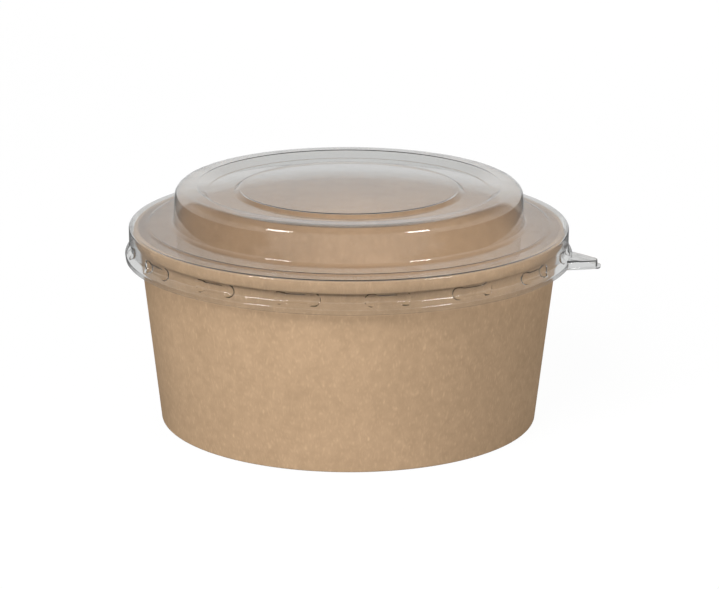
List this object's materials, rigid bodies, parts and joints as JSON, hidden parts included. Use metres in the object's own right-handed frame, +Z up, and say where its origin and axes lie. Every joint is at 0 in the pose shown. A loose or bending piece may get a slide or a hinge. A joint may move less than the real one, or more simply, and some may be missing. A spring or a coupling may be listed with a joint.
{
  "type": "salad bowl",
  "caption": "Round kraft paper take-away salad bowl with a rolled rim and a clear thermoformed press-on dome lid with stacking rings and a pull tab.",
  "frame": {"origin": "centre of the foot ring, on the plane that the bowl stands on", "axes": "+Z up along the bowl's axis, +X towards the lid's pull tab, the wall's glued lap at +Y"},
  "size_m": [0.1661, 0.1558, 0.083],
  "materials": {
    "kraft_wall": "coated brown kraft paper, satin",
    "kraft_floor": "coated brown kraft paper, satin",
    "clear_sheet": "clear glossy thermoformed sheet"
  },
  "bodies": {
    "bowl": {"side_wall": "kraft_wall", "base_disc": "kraft_floor"},
    "lid": {"lid": "clear_sheet"}
  },
  "joints": [
    {"name": "lid_lift", "type": "slide", "parent": "bowl", "child": "lid", "axis": [0, 0, 1], "range_m": [0, 0.1]}
  ]
}
